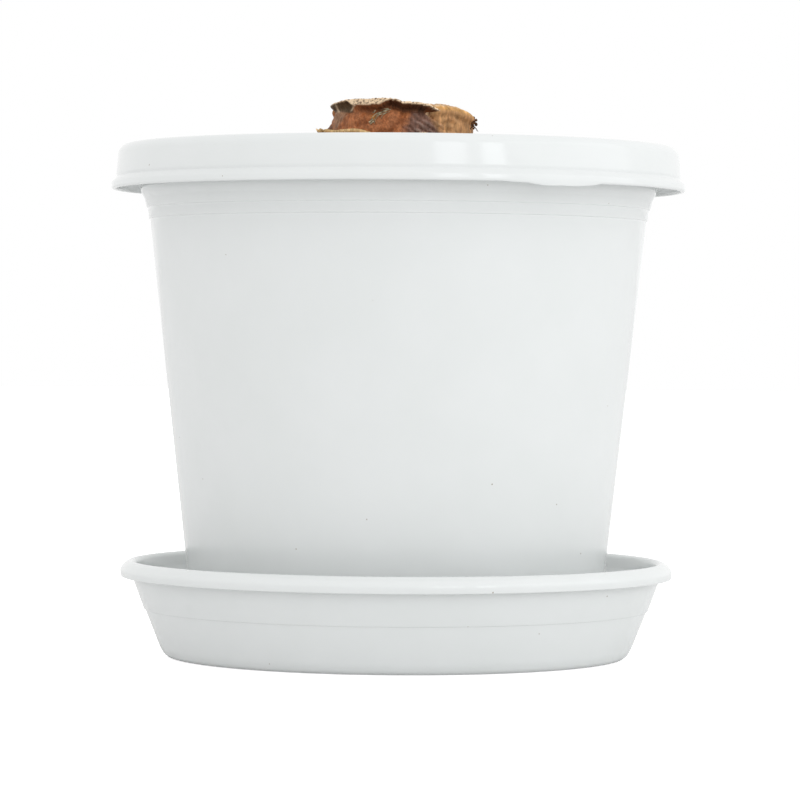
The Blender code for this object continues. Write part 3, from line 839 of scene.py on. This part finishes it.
def crease_fold(x, z):
    """The slanting folds at the right of the scale, from -1 in a crease to 1 on a fold."""
    across = x * 0.54 + z * 0.84 + 0.9 * noise.noise((x / 3.5, 5.0, z / 3.5))
    across += 0.25 * noise.noise((x / 0.9, 5.0, z / 0.9))
    fold = 2.0 * abs(math.sin(across / 1.7 * math.pi)) ** 0.7 - 1.0
    return fold * (0.65 + 0.7 * noise.noise((x / 2.0, 8.0, z / 2.0)))


def scale_point(row, angle):
    """A point of the scale: up its outside, over its cut face, and down behind."""
    degrees = front_degrees(angle)
    x = NECK_X + NECK_RADIUS * math.cos(angle)
    lip, face = scale_lip(x), face_height(x)
    grown = smooth(-190.0, -181.0, degrees) * smooth(-48.0, -56.0, degrees)
    if row <= SCALE_RISE:
        share = row / SCALE_RISE
        height = SCALE_FOOT + (lip - face - SCALE_FOOT) * share
    elif row <= SCALE_RISE + SCALE_FACE:
        share = (row - SCALE_RISE) / SCALE_FACE
        height = lip - face * (1.0 - share)
    else:
        share = (row - SCALE_RISE - SCALE_FACE) / SCALE_FALL
        height = lip - 7.0 * share * share
    below = lip - height
    middle = smooth(-13.0, -8.0, x) * smooth(13.5, 10.0, x)
    belly = 0.1 - 1.0 * smooth(156.0, 161.0, height)
    flare = (1.25 + 0.55 * middle) * (1.0 - smooth(face, face + 2.4, below))
    hollow = (0.4 + 2.0 * middle) * hump(below - face, 1.8, 1.05)
    pocket = 1.1 * hump(x, -16.0, 1.8) * smooth(5.0, 3.4, below) * smooth(face, face + 0.6, below)
    pebbles = 0.3 * noise.noise((x / 1.1, angle * 19.0, height / 1.1))
    pebbles += 0.2 * noise.noise((x / 0.5, 4.0, height / 0.5))
    pebbles *= smooth(2.2, 3.6, below)
    crease = 0.42 * crease_fold(x, height) * smooth(1.5, 4.5, x + 0.5 * (160.0 - height))
    crease *= smooth(1.8, 3.0, below)
    lump = 1.2 * hump(height, 155.7, 1.2) * smooth(-18.9, -20.0, x)
    if row <= SCALE_RISE:
        out = belly + flare - hollow - pocket + pebbles + crease + lump
    else:
        out = belly + flare - 0.55 * (share if row <= SCALE_RISE + SCALE_FACE else 1.0)
        out += 0.16 * noise.noise((x / 0.45, height / 0.45, 4.0))
        if row > SCALE_RISE + SCALE_FACE:
            out -= 1.7 * math.sin(min(1.0, 2.2 * share) * math.pi / 2)
    tucked = -1.3 + 0.2 * share
    return bulb_at(NECK_RADIUS + tucked + (out - tucked) * grown, angle, height)


def spot(x, z, middle_x, middle_z, wide, tall):
    """1 at the middle of an oval stain seen from the front, fading out round it."""
    return math.exp(-(((x - middle_x) / wide) ** 2) - ((z - middle_z) / tall) ** 2)


def scale_tint(x, y, z, angle):
    """The colour of the scale at a point: rust and purple leather, its stains, and its pale cut face, with
    painted shade in the hollow under its lip and in its creases and paler painted highlights on its folds.
    """
    below = scale_lip(x) - z
    face = face_height(x)
    spots = noise.noise((x / 1.6, y / 1.6, z / 1.6)) + 0.5 * noise.noise((x / 0.6, y / 0.6, z / 0.6))
    broad = noise.noise((x / 3.0, 2.0, z / 3.0))
    tone = mix(TERRACOTTA, RUST, smooth(-0.3, 0.8, spots + broad))
    tone = mix(tone, SLATE, 0.8 * smooth(-14.2, -15.8, x + 0.7 * (160.7 - z) + 0.5 * spots))
    tone = mix(tone, TERRACOTTA, 0.5 * smooth(-18.3, -19.6, x) * smooth(160.0, 158.0, z))
    tone = mix(tone, PURPLE, 0.9 * smooth(2.0, 5.0, x + 0.45 * (159.5 - z) + spots))
    # Painted shade in the creases and paler painted highlights on the folds, following the fold relief
    fold = crease_fold(x, z) * smooth(2.5, 5.0, x)
    tone = mix(tone, UMBER, 0.75 * smooth(-0.1, -0.8, fold))
    tone = mix(tone, MAUVE, 0.45 * smooth(0.3, 0.9, fold))
    tone = mix(tone, TAN, 0.8 * smooth(8.6, 10.6, x - 0.6 * (158.0 - z)) * smooth(160.4, 159.6, z))
    tone = mix(tone, TERRACOTTA, 0.7 * spot(x, z, 10.6, 158.9, 1.2, 0.8))
    tone = mix(tone, UMBER, 0.8 * spot(x, z, 3.2, 156.3, 1.1, 0.35))
    tone = mix(tone, UMBER, 0.8 * smooth(-19.2, -20.0, x) * smooth(157.6, 156.8, z))
    tone = mix(tone, AMBER, 0.8 * spot(x, z, -7.4, 159.0, 0.7, 0.6))
    # Painted shade: the hollow under the curled lip is darkened with umber, less towards the left where it is
    # shallow
    shallow = smooth(-1.0, -6.0, x)
    hollow = smooth(face + 3.1, face + 1.7, below + 0.5 * spots + 0.5 * broad) * smooth(-13.4, -10.5, x)
    tone = mix(tone, UMBER, (0.92 - 0.4 * shallow) * hollow)
    # Under the lip at the right: partly the dark brown tissue itself, partly painted shade in the hollow
    # there
    brown_tissue_and_shade = smooth(7.0, 9.0, x) * smooth(face + 3.0, face + 1.8, below)
    brown_tissue_and_shade *= smooth(face + 0.2, face + 0.9, below)
    tone = mix(tone, MAHOGANY, 0.85 * brown_tissue_and_shade * smooth(-0.8, 0.2, spots))
    flap = smooth(160.3, 161.0, z + 0.15 * (x + 15.0) + 0.3 * broad) * smooth(-13.0, -13.8, x)
    tone = mix(tone, FLAP, 0.92 * flap)
    for place, lean, low in ((-18.0, 0.45, 160.6), (-13.7, -0.7, 160.8)):
        streak = hump(x - place + lean * (z - 161.6), 0.0, 0.3) * smooth(low, low + 0.4, z)
        tone = mix(tone, CREAM, 0.75 * streak * smooth(163.4, 162.6, z))
    pale = smooth(face + 0.25, face - 0.1, below)
    tone = mix(tone, CREAM, pale)
    pits = noise.noise((x / 0.9, 6.0, z / 0.45)) + 0.5 * noise.noise((x / 0.4, 6.0, z / 0.3))
    return mix(tone, UMBER, 0.85 * pale * smooth(0.12, 0.4, pits))


bm = shaped(
    sleeve(
        SCALE_RISE + SCALE_FACE + SCALE_FALL + 1, SCALE_STEPS, math.radians(SCALE_TO - SCALE_FROM),
        math.radians(SCALE_FROM),
    ),
    scale_point,
)
bmesh.ops.holes_fill(bm, edges=[edge for edge in bm.edges if edge.is_boundary])
bmesh.ops.recalc_face_normals(bm, faces=bm.faces)
painted(
    bm, scale_tint, lambda x, y, z: smooth(face_height(x) + 0.2, face_height(x) - 0.1, scale_lip(x) - z),
    lambda x: GRAIN_STRETCH + 0.75 * smooth(-15.5, -13.5, x) * smooth(4.0, 2.0, x),
)
piece("neck_scale", bm, leaf_base, sharp=80)

# Fibres and crumbs
# Bits that cling to the dry skin since it was lifted and planted: a tuft of pale root fibre stuck across
# the scale, and crumbs of the mix that hang at its right edge.


def on_scale(x, z, proud):
    """A point on the scale's face, in mm, from its place seen from the front."""
    angle = -math.acos((x - NECK_X) / NECK_RADIUS)
    tall = scale_lip(x) - face_height(x) - SCALE_FOOT
    px, py, pz = scale_point((z - SCALE_FOOT) / tall * SCALE_RISE, angle)
    return px + proud * math.cos(angle), py + proud * math.sin(angle), pz


bm = bmesh.new()
for _ in range(9):
    x, z = -3.2 + rng.uniform(-1.2, 0.8), 161.3 + rng.uniform(-1.0, 0.3)
    reach, points = rng.uniform(0.3, 1.0), []
    for i in range(6):
        points.append(on_scale(x, z, 0.18 + 0.3 * math.sin(i / 5 * math.pi) + 0.1 * rng.random()))
        x += -reach * (1.25 if i < 3 else 0.7) + rng.uniform(-0.15, 0.15)
        z += -reach * (0.35 if i < 3 else 1.3) + rng.uniform(-0.2, 0.2)
    strand(bm, points, rng.uniform(0.07, 0.13))
for low in (156.9, 157.4, 160.3):
    x, z = -8.8 + rng.uniform(-0.4, 0.8), low
    strand(bm, [on_scale(x + 0.35 * i, z + 0.3 * i, 0.25) for i in range(4)], 0.2)
bmesh.ops.recalc_face_normals(bm, faces=bm.faces)
piece("root_fibres", bm, fibrous("dry_root_fibre", "57492F", "D8CBA6", 0.5))

bm = bmesh.new()
for z in (156.4, 157.0, 157.5, 158.0, 158.4, 158.9, 159.4, 159.8):
    for away in (0.0, 0.7, 1.3) if 157.0 < z < 159.0 else (0.0, 0.6):
        angle = math.radians(rng.uniform(-16.0, -6.0))
        size = rng.uniform(0.28, 0.5)
        x, y, _ = bulb_at(21.0 + away, angle, z)
        crumb = bmesh.ops.create_icosphere(bm, subdivisions=2, radius=size * MM)["verts"]
        for vert in crumb:
            vert.co *= 1.0 + 0.6 * noise.noise(vert.co * 2200.0 + Vector((x, away, z)))
        bmesh.ops.translate(bm, vec=Vector((x, y, z + rng.uniform(-0.2, 0.2))) * MM, verts=crumb)
for turn in (-14.0, -8.0):
    points = [bulb_at(20.8 + 0.5 * i, math.radians(turn + i), 157.6 - 0.12 * i * i) for i in range(5)]
    strand(bm, points, 0.09)
bmesh.ops.recalc_face_normals(bm, faces=bm.faces)
piece("neck_crumbs", bm, bark, sharp=60)

# Studio
# A plain pale floor, a white tent that lights the pot softly from all round, a large soft box on the
# right, and two tall ones that show in the rim's gloss. The camera stands low and far off.
FLOOR_RADIUS, FLOOR_DROP = 6.0, 0.0002
LIT_POINT = (0.0, 0.0, 0.1)
floor_mesh = bpy.data.meshes.new("floor")
bm = bmesh.new()
bmesh.ops.create_circle(bm, cap_ends=True, segments=64, radius=FLOOR_RADIUS)
bm.to_mesh(floor_mesh)
bm.free()
paper = bpy.data.materials.new("matt_white_paper")
paper.use_nodes = True
shader = paper.node_tree.nodes["Principled BSDF"]
shader.inputs["Base Color"].default_value = (0.85, 0.85, 0.85, 1.0)
shader.inputs["Roughness"].default_value = 0.9
shader.inputs["Specular IOR Level"].default_value = 0.1
shader.inputs["Emission Color"].default_value = (1.0, 1.0, 1.0, 1.0)
# The paper is lit to clear white in the picture, but only its own bounce lights the pot
ray = add(paper.node_tree, "ShaderNodeLightPath")
glow = add(
    paper.node_tree, "ShaderNodeMapRange",
    {"Value": ray.outputs["Is Camera Ray"], "To Min": 0.0, "To Max": 0.7},
)
paper.node_tree.links.new(glow.outputs[0], shader.inputs["Emission Strength"])
floor_mesh.materials.append(paper)
floor = bpy.data.objects.new("floor", floor_mesh)
floor.location.z = -FLOOR_DROP
bpy.context.scene.collection.objects.link(floor)


def soft_box(name, azimuth, elevation, distance, width, height, power, colour):
    """An area light that faces the pot, in metres and watts. Azimuth 0 is the camera's side, 90 its right."""
    light = bpy.data.lights.new(name, "AREA")
    light.shape, light.size, light.size_y = "RECTANGLE", width, height
    light.energy, light.color = power, colour
    obj = bpy.data.objects.new(name, light)
    a, e = math.radians(azimuth), math.radians(elevation)
    away = Vector((math.sin(a) * math.cos(e), -math.cos(a) * math.cos(e), math.sin(e)))
    obj.location = Vector(LIT_POINT) + away * distance
    obj.rotation_mode = "QUATERNION"
    obj.rotation_quaternion = away.to_track_quat("Z", "Y")
    bpy.context.scene.collection.objects.link(obj)


soft_box("box_right_of_centre", 20.5, 14.0, 1.6, 0.33, 0.60, 1.15, (0.94, 0.98, 1.0))
soft_box("box_further_right", 37.5, 14.0, 1.6, 0.25, 0.60, 1.15, (0.94, 0.98, 1.0))
soft_box("side_right", 78.0, 22.0, 2.4, 2.6, 1.8, 6.8, (0.98, 1.0, 1.0))

world = bpy.data.worlds.new("white_tent")
world.use_nodes = True
bpy.context.scene.world = world
world.node_tree.nodes["Background"].inputs["Color"].default_value = (1.0, 1.0, 1.0, 1.0)
world.node_tree.nodes["Background"].inputs["Strength"].default_value = 1.0

camera_data = bpy.data.cameras.new("camera")
camera_data.sensor_width = 36.0
camera_data.lens = 170.4
camera_data.clip_start, camera_data.clip_end = 0.05, 20.0
camera = bpy.data.objects.new("camera", camera_data)
camera.location = (0.00086, -1.1259, 0.094)
look = Matrix.Rotation(math.radians(90.0 - 0.921), 4, "X") @ Matrix.Rotation(math.radians(0.371), 4, "Z")
camera.rotation_euler = look.to_euler()
bpy.context.scene.collection.objects.link(camera)
bpy.context.scene.camera = camera
bpy.context.scene.view_settings.view_transform = "Standard"
